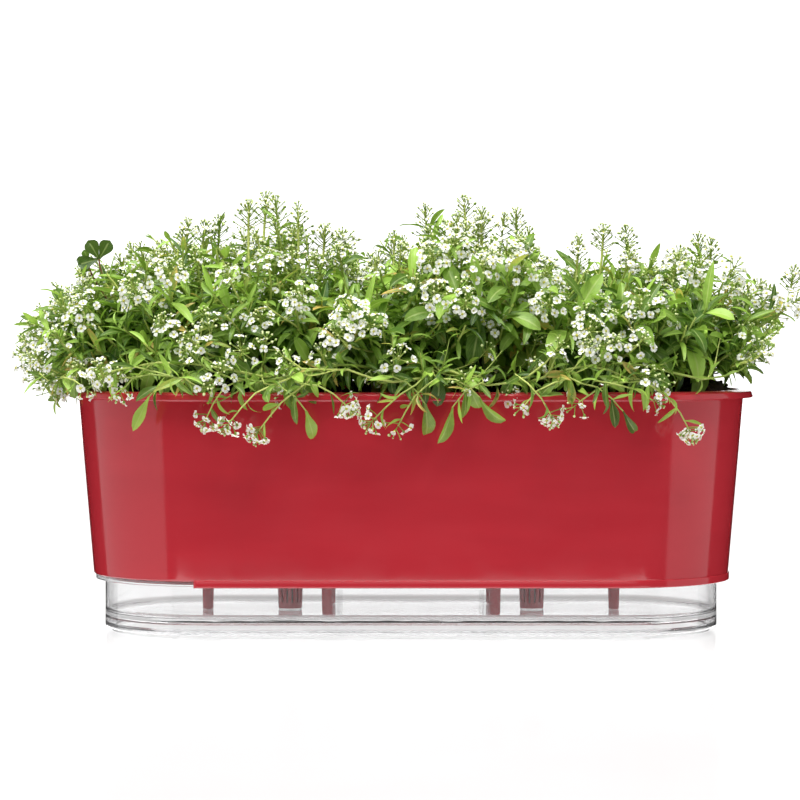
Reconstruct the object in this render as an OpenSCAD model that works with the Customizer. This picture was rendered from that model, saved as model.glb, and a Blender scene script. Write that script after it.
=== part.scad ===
// Self-watering window-box planter: a tapered oval pot that stands in a clear water reservoir,
// planted with five flowering plants. Millimetres, +Z up, +X along the length,
// origin at the middle of the footprint on the surface that it stands on.

/* [Outline] */
// Half length of the straight stretch between the two round ends
half_straight = 122.5; // [100:1:140]
// End radius of the rim's outer edge
rim_r = 89; // [88:0.5:90]
// End radius of the pot's outer wall just under the rim
wall_top_r = 83; // [82:0.5:84]
// End radius of the pot's outer wall at the bottom
wall_bottom_r = 74; // [73.5:0.25:74.5]
// End radius of the reservoir's outer wall
tray_r = 67; // [66:0.5:67.5]

/* [Heights] */
// Height of the rim's top above the ground
rim_z = 149.5; // [146:0.5:152]
// Height of the outside of the pot's floor
pot_floor_z = 36; // [35.6:0.1:36.4]
// Height of the inside of the reservoir's floor
tray_floor_z = 12.5; // [12:0.25:13]
// Height of the foot ring under the wall of the reservoir
foot_h = 2.6; // [2.4:0.1:2.8]

/* [Walls] */
// Thickness of the pot's wall
pot_wall = 2; // [1.6:0.1:2.4]
// Thickness of the pot's floor
pot_floor_t = 2.2; // [2:0.1:3]
// Thickness of the reservoir's wall and floor
tray_wall = 2; // [1.6:0.1:2.2]

/* [Pot skirt] */
// Height of the skirt's lower edge, which hides the reservoir's collar
skirt_z = 32.1; // [31.8:0.1:32.4]
// How far the skirt stands proud of the wall
skirt_proud = 0.7; // [0.6:0.1:1]
// The skirt is cut away beyond this distance from the middle, to pour water in at the left end
notch_x = 130; // [124:1:150]

/* [Legs and wells] */
// Distance of the two outer legs from the middle
outer_leg_x = 126; // [120:1:130]
// Distance of the four inner legs from the middle, along the length
inner_leg_x = 51; // [46:1:54]
// Distance of the four inner legs from the middle, across the width
inner_leg_y = 35; // [30:1:40]
// Radius of a leg at its foot
leg_r = 3.3; // [3:0.1:3.8]
// Distance of the two wicking wells from the middle
well_x = 75; // [70:1:80]
// Outer radius of a well where it leaves the pot
well_top_r = 8.2; // [7.8:0.1:8.4]
// Outer radius of a well at its lower end
well_bottom_r = 7.3; // [7:0.1:7.6]
// Number of slots round a well
well_slots = 14; // [8:1:16]

/* [Planting] */
// Distance between neighbouring root balls
plant_pitch = 80; // [78:1:82]
// Radius of a root ball at its top
root_r = 38; // [34:1:38.5]
// How far the root balls stand above the rim
root_proud = 8.5; // [6:0.5:10]
// Radius of the foliage mound round each plant
foliage_r = 121; // [112:1:124]
// Heights of the five foliage mounds above the ground, from left to right
foliage_tops = [244, 266, 262, 262, 250];

/* [Hidden] */
$fn = 96;
fit_gap = 0.4;
slot_w = 1.1;
rim_drop = 5;
foot_ring_r = tray_r - 4;
corner_r = 2;
inner_corner_r = 3;
collar_z = skirt_z + 0.8;
collar_t = 1.6;
collar_lip_t = 1.4;
collar_r = wall_bottom_r - 1.3;
skirt_inner_r = collar_r + 0.6;
guide_r = tray_r - tray_wall - 0.8;
guide_t = 1.8;
guide_h = 2.6;
notch_top_z = pot_floor_z - 0.4;
soil_z = rim_z - 3;
soil_base_z = pot_floor_z + pot_floor_t + 1.8;
root_base_z = 78;
root_top_z = rim_z + root_proud;
crown_z = root_top_z + 2;
pad_l = 30;
pad_xs = [43, 128.5];
weed_at = [-193, -25];
weed_z = 222;
weed_h = 25;
end_plant_x = 128;

function plant_x(i) = (i - 3) * plant_pitch;
// Outer radius of the pot's tapered wall at height z
function wall_r(z) = wall_bottom_r
  + (wall_top_r - wall_bottom_r) * (z - pot_floor_z) / (rim_z - rim_drop - pot_floor_z);

// Sweeps a profile, drawn as (distance from the centre line, height), round the oval outline.
module oval_sweep() {
  for (side = [-1, 1])
    translate([side * half_straight, 0, 0]) rotate([0, 0, -90 * side])
      rotate_extrude(angle = 180) children();
  rotate([90, 0, 90]) linear_extrude(height = 2 * half_straight, center = true) {
    children();
    mirror([1, 0]) children();
  }
}

// A block between two distances from the centre line and two heights, as a profile
module band(r0, z0, r1, z1) {
  translate([r0, z0]) square([r1 - r0, z1 - z0]);
}

// ---- reservoir ----

// Solid profile with a round lower corner, used for the outside and the inside of the reservoir
module basin_profile(r, z0, z1, corner) {
  band(0, z0 + corner, r, z1);
  band(0, z0, r - corner, z0 + corner);
  intersection() {
    translate([r - corner, z0 + corner]) circle(corner);
    band(r - corner, z0, r, z0 + corner);
  }
}

module basin() {
  oval_sweep() difference() {
    union() {
      basin_profile(tray_r, foot_h, collar_z + collar_t, corner_r);
      band(0, collar_z, collar_r, collar_z + collar_t);
      band(collar_r - collar_lip_t, collar_z, collar_r, pot_floor_z - 0.3);
    }
    basin_profile(tray_r - tray_wall, tray_floor_z, rim_z, inner_corner_r);
    under_floor_profile();
  }
}

// The hollow under the raised floor, open to the ground
module under_floor_profile() {
  low_r = foot_ring_r - tray_wall;
  high_r = tray_r - tray_wall;
  top_z = tray_floor_z - tray_wall;
  polygon([
    [0, -1],
    [low_r, -1],
    [low_r, foot_h + 1.6],
    [high_r, foot_h + 3.8],
    [high_r, top_z - 1.5],
    [high_r - 1.5, top_z],
    [0, top_z]
  ]);
}

// A ring set back under the wall, with long pads that touch the ground
module foot_ring() {
  oval_sweep() band(foot_ring_r - tray_wall, 0.8, foot_ring_r, foot_h + 0.5);
  intersection() {
    oval_sweep() band(foot_ring_r - tray_wall, 0, foot_ring_r, 1.2);
    for (x = pad_xs, side = [-1, 1])
      translate([side * x - pad_l / 2, -tray_r, 0]) cube([pad_l, 2 * tray_r, 1]);
  }
}

// A thin upright rib beside an inner leg, which keeps it in its place
module leg_rib(x, y) {
  translate([x > 0 ? x - leg_r - 4.6 : x + leg_r + 1.2, y - 0.6, tray_floor_z - 0.5])
    cube([3.4, 1.2, 9]);
}

// A low ring on the floor under a well
module well_ring(x) {
  translate([x, 0, tray_floor_z - 0.5]) difference() {
    cylinder(h = 1, r = well_bottom_r - 0.2);
    translate([0, 0, -0.5]) cylinder(h = 2.2, r = well_bottom_r - 1.2);
  }
}

module reservoir_tray() {
  color([0.93, 0.95, 0.96, 0.35]) {
    basin();
    foot_ring();
    for (x = [-inner_leg_x, inner_leg_x], y = [-inner_leg_y, inner_leg_y]) leg_rib(x, y);
    for (x = [-well_x, well_x]) well_ring(x);
  }
}

// ---- pot ----

// Wall with the sloping rim at the top
module wall_profile() {
  rim_low = rim_z - rim_drop;
  polygon([
    [wall_bottom_r - pot_wall, pot_floor_z],
    [wall_bottom_r, pot_floor_z],
    [wall_top_r, rim_low],
    [rim_r - 0.8, rim_low],
    [rim_r, rim_low + 0.8],
    [rim_r - 0.7, rim_z - 2],
    [rim_r - 1.5, rim_z - 1.4],
    [wall_top_r + 0.8, rim_z - 0.3],
    [wall_top_r - pot_wall + 0.5, rim_z],
    [wall_top_r - pot_wall, rim_z - 0.5]
  ]);
}

// Skirt that hangs over the reservoir's collar, with rounded edges
module skirt_profile() {
  outer = wall_bottom_r + skirt_proud;
  polygon([
    [skirt_inner_r, skirt_z],
    [outer - 0.9, skirt_z],
    [outer - 0.25, skirt_z + 0.25],
    [outer, skirt_z + 0.9],
    [outer, pot_floor_z + 0.2],
    [wall_bottom_r + 0.2, pot_floor_z + 1.1],
    [wall_bottom_r - 0.5, pot_floor_z + 1.1],
    [skirt_inner_r, pot_floor_z]
  ]);
}

module leg(x, y) {
  foot_z = tray_floor_z + 0.1;
  translate([x, y, foot_z])
    cylinder(h = pot_floor_z + 0.5 - foot_z, r1 = leg_r, r2 = leg_r + 0.45);
}

// Ring under the floor that keeps the pot centred in the mouth of the reservoir
module guide_ring() {
  oval_sweep() band(guide_r - guide_t, pot_floor_z - guide_h, guide_r, pot_floor_z + 0.5);
}

// A small lug in the pouring notch that steadies the pot on the reservoir's collar
module notch_lug(side) {
  translate([-half_straight, 0, 0]) rotate([0, 0, 180 + side * 39])
    translate([collar_r - 5.2, -4, collar_z + collar_t + 0.3])
      cube([3.4, 8, pot_floor_z + 0.4 - collar_z - collar_t - 0.3]);
}

module planter_pot() {
  color([0.75, 0.10, 0.16]) {
    difference() {
      oval_sweep() {
        wall_profile();
        band(0, pot_floor_z, wall_bottom_r - 1, pot_floor_z + pot_floor_t);
        skirt_profile();
      }
      for (x = [-well_x, well_x]) translate([x, 0, pot_floor_z - 1])
        cylinder(h = pot_floor_t + 2, r = well_top_r + fit_gap);
      translate([-notch_x - 100, -100, skirt_z - 1]) cube([100, 200, notch_top_z - skirt_z + 1]);
    }
    for (x = [-outer_leg_x, outer_leg_x]) leg(x, 0);
    for (x = [-inner_leg_x, inner_leg_x], y = [-inner_leg_y, inner_leg_y]) leg(x, y);
    for (side = [-1, 1]) notch_lug(side);
    guide_ring();
  }
}

// ---- wicking wells ----

// Slotted basket that hangs by its flange from a hole in the pot's floor
module wick_cup(x) {
  well_z = tray_floor_z + 0.8;
  hang_z = pot_floor_z + pot_floor_t;
  color([0.66, 0.10, 0.15]) translate([x, 0, 0]) difference() {
    union() {
      translate([0, 0, well_z])
        cylinder(h = hang_z + 0.5 - well_z, r1 = well_bottom_r, r2 = well_top_r);
      translate([0, 0, hang_z + 0.1]) cylinder(h = 1.3, r = well_top_r + 3);
    }
    translate([0, 0, well_z + 1.5])
      cylinder(h = hang_z + 5 - well_z, r1 = well_bottom_r - 1.3, r2 = well_top_r - 1.2);
    for (i = [0:well_slots - 1]) rotate([0, 0, i * 360 / well_slots])
      translate([4, -slot_w / 2, well_z + 3.7]) cube([8, slot_w, 15]);
  }
}

// Fleece plug that carries water from the well up into the growing medium
module wick(x, grow) {
  base_z = tray_floor_z + 3.2;
  color([0.80, 0.74, 0.66]) translate([x, 0, base_z])
    cylinder(h = 46, r1 = well_bottom_r - 1.7 + grow, r2 = well_bottom_r - 1.1 + grow);
}

module wick_cup_left() { wick_cup(-well_x); }
module wick_cup_right() { wick_cup(well_x); }
module wick_left() { wick(-well_x, 0); }
module wick_right() { wick(well_x, 0); }

// ---- planting ----

module root_ball(i, grow) {
  color([0.16, 0.11, 0.08]) translate([plant_x(i), 0, root_base_z - grow])
    cylinder(h = root_top_z - root_base_z + grow, r1 = root_r - 5 + grow, r2 = root_r + grow);
}

module growing_medium() {
  inner = pot_wall + fit_gap;
  color([0.12, 0.08, 0.06]) difference() {
    oval_sweep() polygon([
      [0, soil_base_z],
      [wall_r(soil_base_z) - inner, soil_base_z],
      [wall_r(soil_z - 3) - inner, soil_z - 3],
      [wall_r(soil_z - 3) - inner - 5, soil_z],
      [0, soil_z]
    ]);
    for (i = [1:5]) root_ball(i, fit_gap);
    for (x = [-well_x, well_x]) wick(x, fit_gap);
  }
}

module root_ball_1() { root_ball(1, 0); }
module root_ball_2() { root_ball(2, 0); }
module root_ball_3() { root_ball(3, 0); }
module root_ball_4() { root_ball(4, 0); }
module root_ball_5() { root_ball(5, 0); }

// Domed foliage mound, as a profile about its own upright axis
function mound(top_z) = concat(
  [[0, crown_z]],
  [for (a = [0:9:81]) [foliage_r * pow(cos(a), 0.6), crown_z + (top_z - crown_z) * pow(sin(a), 0.9)]],
  [[0, top_z]]
);

// One plant's share of the foliage: a slice of the mound, or its whole outer end
module foliage(i) {
  end = abs(i - 3) == 2;
  side = sign(i - 3);
  slice = plant_pitch - 1;
  color([0.36, 0.52, 0.18]) intersection() {
    translate([end ? side * end_plant_x : plant_x(i), 0, 0]) rotate_extrude()
      polygon(mound(foliage_tops[i - 1]));
    if (end)
      translate([side * 220, 0, 200]) cube([200, 400, 400], center = true);
    else
      translate([plant_x(i), 0, 200]) cube([slice, 400, 400], center = true);
  }
}

module weed_solid(grow) {
  translate([weed_at.x, weed_at.y, weed_z - grow])
    cylinder(h = weed_h + 2 * grow, r1 = 6 + grow, r2 = 13 + grow);
}

// Stems that hang over the rim, as a straight run with one cross-section
module hanging_run(width) {
  rotate([90, 0, 0]) linear_extrude(height = width, center = true) polygon([
    [rim_r + 3.5, 120],
    [rim_r + 10, 114],
    [rim_r + 24, 118],
    [foliage_r - 2, 140],
    [foliage_r - 0.5, crown_z - 2.5],
    [rim_r + 3.5, crown_z - 2.5]
  ]);
}

module trailing_stems(i) {
  side = sign(i - 3);
  color([0.45, 0.62, 0.24])
    if (abs(i - 3) == 2)
      for (a = [-60, 0, 60])
        translate([side * half_straight, 0, 0]) rotate([0, 0, a + (side < 0 ? 180 : 0)])
          hanging_run(44);
    else
      for (a = [-90, 90])
        translate([plant_x(i), 0, 0]) rotate([0, 0, a]) hanging_run(56);
}

module alyssum_1() { difference() { foliage(1); weed_solid(0.5); } }
module alyssum_2() { foliage(2); }
module alyssum_3() { foliage(3); }
module alyssum_4() { foliage(4); }
module alyssum_5() { foliage(5); }
module trailing_stems_1() { trailing_stems(1); }
module trailing_stems_2() { trailing_stems(2); }
module trailing_stems_3() { trailing_stems(3); }
module trailing_stems_4() { trailing_stems(4); }
module trailing_stems_5() { trailing_stems(5); }
module clover_weed() { color([0.20, 0.36, 0.14]) weed_solid(0); }

reservoir_tray();
planter_pot();
wick_cup_left();
wick_cup_right();
wick_left();
wick_right();
growing_medium();
root_ball_1();
root_ball_2();
root_ball_3();
root_ball_4();
root_ball_5();
alyssum_1();
alyssum_2();
alyssum_3();
alyssum_4();
alyssum_5();
trailing_stems_1();
trailing_stems_2();
trailing_stems_3();
trailing_stems_4();
trailing_stems_5();
clover_weed();
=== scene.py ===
"""Looks for the self-watering window-box planter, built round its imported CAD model.

The clear reservoir and the two wells keep their CAD meshes. The pot, the growing medium, the root
balls, the wicks and the plants are built here as finer meshes in the same places. Every length is in
metres, apart from the planting tables, which are in millimetres.
"""

import math

import bmesh
import bpy
import numpy as np
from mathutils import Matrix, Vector, noise


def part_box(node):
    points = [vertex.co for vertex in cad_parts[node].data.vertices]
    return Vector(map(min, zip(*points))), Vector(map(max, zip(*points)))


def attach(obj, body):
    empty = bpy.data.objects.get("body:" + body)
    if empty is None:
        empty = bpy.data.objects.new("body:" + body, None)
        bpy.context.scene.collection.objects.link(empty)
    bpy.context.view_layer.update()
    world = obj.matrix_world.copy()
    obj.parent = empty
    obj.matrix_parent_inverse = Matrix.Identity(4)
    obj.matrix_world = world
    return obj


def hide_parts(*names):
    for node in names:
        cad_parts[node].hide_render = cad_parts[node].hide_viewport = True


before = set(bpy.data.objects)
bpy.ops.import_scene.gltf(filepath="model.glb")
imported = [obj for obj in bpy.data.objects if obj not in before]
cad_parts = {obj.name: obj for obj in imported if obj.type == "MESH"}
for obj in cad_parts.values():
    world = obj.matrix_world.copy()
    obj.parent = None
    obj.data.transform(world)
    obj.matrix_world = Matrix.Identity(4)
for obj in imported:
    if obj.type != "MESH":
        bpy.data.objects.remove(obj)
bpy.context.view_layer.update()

MM = 0.001

# ---- places read from the frame ----

pot_low, pot_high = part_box("planter_pot")
medium_low, medium_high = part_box("growing_medium")
RIM_Z = pot_high.z
RIM_R = pot_high.y
HALF_STRAIGHT = pot_high.x - pot_high.y
PLANTS = range(1, 6)
ROOT_BOXES = [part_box(f"root_ball_{i}") for i in PLANTS]
PLANT_X = [(low.x + high.x) / 2 for low, high in ROOT_BOXES]
ROOT_TOP = ROOT_BOXES[0][1].z

# ---- mesh building ----

PLAIN = np.zeros((1, 3))
# A direction that no stem runs along
ASKEW = np.array([0.31, 0.52, 0.79])
# Points along one rounded end, and along one straight side, of the oval outline
END_STEPS = 48
SIDE_STEPS = 24


def add_object(name, data):
    """Puts a mesh, a lamp or a camera into the scene."""
    made = bpy.data.objects.new(name, data)
    bpy.context.scene.collection.objects.link(made)
    return made


class Shape:
    """One small shape in its own axes, ready to be copied many times."""

    def __init__(self):
        self.points, self.look, self.faces, self.slots = [], [], [], []

    def grid(self, points, look, wrap=False, slot=0):
        """Adds a sheet of rows by columns; wrap joins its last column to its first."""
        rows, cols = points.shape[:2]
        start = sum(len(p) for p in self.points)
        self.points.append(points.reshape(-1, 3))
        self.look.append(look.reshape(-1, 2))
        faces = grid_faces(rows, cols, wrap) + start
        self.faces.append(faces)
        self.slots.append(np.full(len(faces), slot))
        return self

    def arrays(self):
        return (np.concatenate(self.points), np.concatenate(self.look),
                np.concatenate(self.faces), np.concatenate(self.slots))


def grid_faces(rows, cols, wrap):
    """Corner numbers of the four-sided faces of a sheet of rows by columns."""
    r, c = np.meshgrid(np.arange(rows - 1), np.arange(cols if wrap else cols - 1), indexing="ij")
    c2 = (c + 1) % cols
    quads = np.stack([r * cols + c, r * cols + c2, (r + 1) * cols + c2, (r + 1) * cols + c], -1)
    return quads.reshape(-1, 4)


class Batch:
    """Many copies and sheets, collected into one mesh object."""

    def __init__(self):
        self.points, self.look, self.tint, self.faces, self.slots = [], [], [], [], []
        self.count = 0

    def add(self, points, look, tint, faces, slots):
        """Adds corners, each with its two look and three tint numbers, and faces with their slots."""
        self.points.append(points)
        self.look.append(look)
        self.tint.append(tint)
        self.faces.append(faces + self.count)
        self.slots.append(slots)
        self.count += len(points)

    def copies(self, shape, places, axes, tint):
        """Copies of a shape: places are (n, 3), axes (n, 3, 3) hold each copy's own x, y and z."""
        if not len(places):
            return
        points, look, faces, slots = shape.arrays()
        n, size = len(places), len(points)
        world = np.einsum("pk,nkj->npj", points, axes) + places[:, None]
        shifted = faces[None] + (np.arange(n) * size)[:, None, None]
        self.add(world.reshape(-1, 3), np.tile(look, (n, 1)), np.repeat(tint, size, 0),
                 shifted.reshape(-1, 4), np.tile(slots, n))

    def sheets(self, points, tint=PLAIN, slot=0):
        """Sheets of (n, rows, columns, 3) points, each with its last column joined to its first."""
        n, rows, cols = points.shape[:3]
        along, across = np.meshgrid(np.linspace(0, 1, rows), np.linspace(0, 1, cols), indexing="ij")
        look = np.tile(np.stack([along, across], -1).reshape(-1, 2), (n, 1))
        faces = grid_faces(rows, cols, True)
        shifted = faces[None] + (np.arange(n) * rows * cols)[:, None, None]
        self.add(points.reshape(-1, 3), look, np.repeat(tint, rows * cols, 0),
                 shifted.reshape(-1, 4), np.full(n * len(faces), slot))

    def tubes(self, paths, radii, tint, sides, slot=0):
        """Round tubes along (n, rows, 3) paths with (n, rows) radii."""
        tangent = unit(np.gradient(paths, axis=1))
        turn = np.cross(tangent[:, 0], tangent[:, -1])
        straight = np.linalg.norm(turn, axis=1, keepdims=True) < 0.05
        side = unit(np.where(straight, np.cross(tangent[:, 0], ASKEW), turn))[:, None]
        side = unit(side - np.sum(side * tangent, -1, keepdims=True) * tangent)
        other = np.cross(tangent, side)
        angle = np.arange(sides) * 2 * np.pi / sides
        ring = (side[:, :, None] * np.cos(angle)[:, None] + other[:, :, None] * np.sin(angle)[:, None])
        self.sheets(paths[:, :, None] + ring * radii[:, :, None, None], tint, slot)

    def build(self, name, materials):
        """Makes the object, with its materials in slot order."""
        points, faces = np.concatenate(self.points), np.concatenate(self.faces)
        mesh = bpy.data.meshes.new(name)
        mesh.vertices.add(len(points))
        mesh.vertices.foreach_set("co", points.astype(np.float32).ravel())
        mesh.loops.add(faces.size)
        mesh.loops.foreach_set("vertex_index", faces.astype(np.int32).ravel())
        mesh.polygons.add(len(faces))
        mesh.polygons.foreach_set("loop_start", np.arange(0, faces.size, 4, dtype=np.int32))
        mesh.polygons.foreach_set("material_index", np.concatenate(self.slots).astype(np.int32))
        mesh.polygons.foreach_set("use_smooth", np.ones(len(faces), dtype=bool))
        mesh.update(calc_edges=True)
        look = np.concatenate(self.look)
        flat = np.column_stack([look, np.zeros(len(look))]).astype(np.float32)
        for title, values in (("look", flat), ("tint", np.concatenate(self.tint).astype(np.float32))):
            layer = mesh.attributes.new(title, "FLOAT_VECTOR", "POINT")
            layer.data.foreach_set("vector", values.ravel())
        for material in materials:
            mesh.materials.append(material)
        return add_object(name, mesh)


def single(name, points, material):
    """An object that is one closed sheet."""
    batch = Batch()
    batch.sheets(points)
    return batch.build(name, [material])


def unit(vectors):
    """The same directions with length 1."""
    return vectors / np.maximum(np.linalg.norm(vectors, axis=-1, keepdims=True), 1e-9)


def polar(radius, angle, z, middle=0.0):
    """Points at a distance and an angle round an upright axis, which stands at middle along X."""
    return np.stack(np.broadcast_arrays(middle + radius * np.cos(angle), radius * np.sin(angle), z), -1)


def place(piece, node):
    """Puts a piece on the planter body and hides the CAD node it stands for."""
    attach(piece, "planter")
    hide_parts(node)


def oval_ring(r):
    """Points round the oval outline at distance r from its centre line, from the front left on."""
    side = np.linspace(-HALF_STRAIGHT, HALF_STRAIGHT, SIDE_STEPS, endpoint=False)
    turn = np.linspace(-np.pi / 2, np.pi / 2, END_STEPS, endpoint=False)
    front = np.column_stack([side, np.full(SIDE_STEPS, -r)])
    right = np.column_stack([HALF_STRAIGHT + r * np.cos(turn), r * np.sin(turn)])
    return np.concatenate([front, right, -front, -right])


def sweep(profile, outline=oval_ring):
    """Rows of points along an outline, one row for each (distance, height) of the profile."""
    return np.array([[(x, y, z) for x, y in outline(r)] for r, z in profile])[None]


def arc(centre_r, centre_z, radius, start, end, steps):
    """Points of an arc in a profile, between two angles in degrees."""
    angle = np.radians(np.linspace(start, end, steps))
    return [(centre_r + radius * math.cos(a), centre_z + radius * math.sin(a)) for a in angle]


# ---- materials ----


class Paint:
    """A material's node tree, with short ways to add to it."""

    def __init__(self, name, **values):
        self.material = bpy.data.materials.new(name)
        self.material.use_nodes = True
        self.nodes, self.links = self.material.node_tree.nodes, self.material.node_tree.links
        self.shader = self.nodes["Principled BSDF"]
        self.output = self.nodes["Material Output"]
        for socket, value in values.items():
            self.shader.inputs[socket.replace("_", " ")].default_value = value

    def node(self, kind, inputs=None, **settings):
        """A new node; an input is either a number or colour, or the socket to link to it."""
        made = self.nodes.new(kind)
        for key, value in settings.items():
            setattr(made, key, value)
        for key, value in (inputs or {}).items():
            if isinstance(value, bpy.types.NodeSocket):
                self.links.new(value, made.inputs[key])
            else:
                made.inputs[key].default_value = value
        return made

    def attribute(self, name):
        """The three numbers of a mesh attribute, as X, Y and Z sockets."""
        read = self.node("ShaderNodeAttribute", attribute_name=name)
        return self.node("ShaderNodeSeparateXYZ", {0: read.outputs["Vector"]}).outputs

    def noise(self, scale, detail=4.0, roughness=0.55, upright=1.0):
        """Cloudy noise fixed to the piece; upright above 1 makes it finer along Z, below 1 coarser."""
        spot = self.node("ShaderNodeTexCoord").outputs["Object"]
        if upright != 1.0:
            scales = (1.0, 1.0, upright)
            spot = self.node("ShaderNodeMapping", {"Vector": spot, "Scale": scales}).outputs[0]
        return self.node("ShaderNodeTexNoise", {
            "Vector": spot, "Scale": scale, "Detail": detail, "Roughness": roughness}).outputs["Fac"]

    def math(self, operation, a, b=0.0):
        """The result of one sum on two numbers or sockets."""
        return self.node("ShaderNodeMath", {0: a, 1: b}, operation=operation).outputs[0]

    def band(self, value, low, high, to_low=0.0, to_high=1.0):
        """value between low and high, smoothed, as a number between to_low and to_high."""
        return self.node("ShaderNodeMapRange", {
            "Value": value, "From Min": low, "From Max": high, "To Min": to_low,
            "To Max": to_high}, interpolation_type="SMOOTHSTEP").outputs["Result"]

    def mix(self, factor, a, b):
        """Colour a where factor is 0 and colour b where it is 1."""
        return self.node("ShaderNodeMix", {0: factor, 6: a, 7: b}, data_type="RGBA").outputs[2]

    def colour(self, socket):
        """Sets the surface's colour."""
        self.links.new(socket, self.shader.inputs["Base Color"])

    def bump(self, height, strength, distance):
        """Fine relief that shows in the light on the surface."""
        made = self.node("ShaderNodeBump", {
            "Height": height, "Strength": strength, "Distance": distance})
        self.links.new(made.outputs["Normal"], self.shader.inputs["Normal"])

    def blend(self, share, other):
        """Mixes a share of another shader node over the main one, and gives the finished material."""
        both = self.node("ShaderNodeMixShader", {0: share, 1: self.shader.outputs[0], 2: other.outputs[0]})
        self.links.new(both.outputs[0], self.output.inputs["Surface"])
        return self.material

    def glow_through(self, share, colour):
        """Lets part of the light that falls on the back of a thin leaf or petal through it."""
        return self.blend(share, self.node("ShaderNodeBsdfTranslucent", {"Color": colour}))


def rgb(red, green, blue):
    """An opaque colour from sRGB values between 0 and 255."""
    linear = [((v / 255 + 0.055) / 1.055) ** 2.4 if v > 10 else v / 255 / 12.92
              for v in (red, green, blue)]
    return (*linear, 1.0)


def red_plastic():
    """Glossy moulded plastic: even red, faint flow marks, a soft orange-peel and fine dust."""
    p = Paint("red_plastic", Roughness=0.12, IOR=1.5)
    flow = p.noise(9.0, 3.0, 0.5, upright=5.0)
    dust = p.noise(420.0, 5.0, 0.7)
    deep = p.mix(p.band(flow, 0.35, 0.65), rgb(190, 48, 58), rgb(184, 45, 55))
    p.colour(p.mix(p.band(dust, 0.62, 0.80, 0.0, 0.10), deep, rgb(225, 120, 120)))
    p.links.new(p.band(p.noise(60.0, 4.0), 0.3, 0.7, 0.08, 0.14), p.shader.inputs["Roughness"])
    p.bump(p.noise(55.0, 2.0), 0.05, 0.001)
    return p.material


def clear_plastic():
    """Colourless clear plastic with faint moulding ripples, which lets the light of lamps through."""
    p = Paint("clear_plastic", Roughness=0.02, IOR=1.45, Transmission_Weight=0.94)
    ripple = p.noise(35.0, 2.0, 0.4)
    p.colour(p.mix(p.band(ripple, 0.4, 0.6), (0.94, 0.943, 0.945, 1), (0.955, 0.957, 0.96, 1)))
    p.bump(ripple, 0.08, 0.001)
    lamp = p.node("ShaderNodeLightPath").outputs["Is Shadow Ray"]
    return p.blend(lamp, p.node("ShaderNodeBsdfTransparent", {"Color": (0.93, 0.93, 0.94, 1)}))


def fleece():
    """Matted capillary fleece."""
    p = Paint("wick_fleece", Roughness=0.9)
    fibres = p.noise(900.0, 6.0, 0.7, upright=0.15)
    p.colour(p.mix(p.band(fibres, 0.35, 0.65), rgb(118, 88, 80), rgb(172, 140, 130)))
    p.bump(fibres, 0.6, 0.001)
    return p.material


def compost(name, light):
    """Moist bark compost: nearly black, with brown crumbs as pale as light."""
    p = Paint(name, Roughness=0.9)
    crumbs = p.noise(260.0, 8.0, 0.65)
    tone = p.attribute("tint")[0]
    base = p.mix(p.band(crumbs, 0.35, 0.7), rgb(16, 12, 11), rgb(*light))
    p.colour(p.mix(p.band(tone, 0.55, 1.0, 0.0, 0.6), base, rgb(92, 66, 48)))
    p.bump(p.noise(700.0, 6.0, 0.7), 0.5, 0.001)
    return p.material


def leaf_paint(name, dark, light, old, veins=0.5):
    """A thin leaf: paler midrib and side veins, mottled green, ageing to yellow from its tip."""
    p = Paint(name, Roughness=0.42, IOR=1.45)
    along, across = p.attribute("look")[:2]
    tint = p.attribute("tint")
    offset = p.math("ABSOLUTE", p.math("SUBTRACT", across, 0.5))
    mottle = p.noise(300.0, 4.0)
    tone = p.math("ADD", p.math("MULTIPLY", tint[0], 0.75), p.math("MULTIPLY", mottle, 0.35))
    green = p.mix(p.band(tone, 0.1, 1.0), dark, light)
    rib = p.math("MULTIPLY", p.band(offset, 0.0, 0.09, 1.0, 0.0), veins)
    slant = p.math("SUBTRACT", p.math("MULTIPLY", along, 9.0), p.math("MULTIPLY", offset, 7.0))
    vein = p.band(p.math("ABSOLUTE", p.math("SUBTRACT", p.math("FRACT", slant), 0.5)), 0.0, 0.14, 1.0, 0.0)
    lines = p.math("MAXIMUM", rib, p.math("MULTIPLY", vein, veins * 0.35))
    veined = p.mix(lines, green, rgb(205, 220, 140))
    reach = p.math("ADD", p.math("MULTIPLY", along, 0.5), p.math("MULTIPLY", offset, 0.7))
    worn = p.math("MULTIPLY", p.band(tint[1], 0.91, 1.0), p.band(p.math("ADD", reach, mottle), 0.7, 1.1))
    colour = p.mix(worn, veined, old)
    p.colour(colour)
    p.bump(p.math("SUBTRACT", mottle, lines), 0.25, 0.0006)
    return p.glow_through(0.27, p.mix(0.5, colour, rgb(172, 214, 66)))


def stem_paint():
    """Fine-haired green stem, yellower where it is young."""
    p = Paint("alyssum_stem", Roughness=0.5, IOR=1.45)
    tint = p.attribute("tint")
    streak = p.noise(500.0, 4.0, 0.6)
    tone = p.math("ADD", p.math("MULTIPLY", tint[0], 0.8), p.math("MULTIPLY", streak, 0.3))
    green = p.mix(p.band(tone, 0.1, 1.0), rgb(112, 146, 44), rgb(212, 222, 126))
    p.colour(green)
    p.bump(streak, 0.3, 0.0005)
    return p.glow_through(0.2, green)


def petal_paint():
    """White petal, greenish at its claw, with faint veins."""
    p = Paint("alyssum_petal", Roughness=0.55, IOR=1.4)
    along, across = p.attribute("look")[:2]
    vein = p.math("FRACT", p.math("MULTIPLY", across, 5.0))
    white = p.mix(p.band(vein, 0.0, 0.3, 0.05, 0.0), (0.93, 0.935, 0.88, 1), (0.74, 0.76, 0.62, 1))
    colour = p.mix(p.band(along, 0.0, 0.42, 0.8, 0.0), white, rgb(196, 204, 120))
    p.colour(colour)
    return p.glow_through(0.3, colour)


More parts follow.
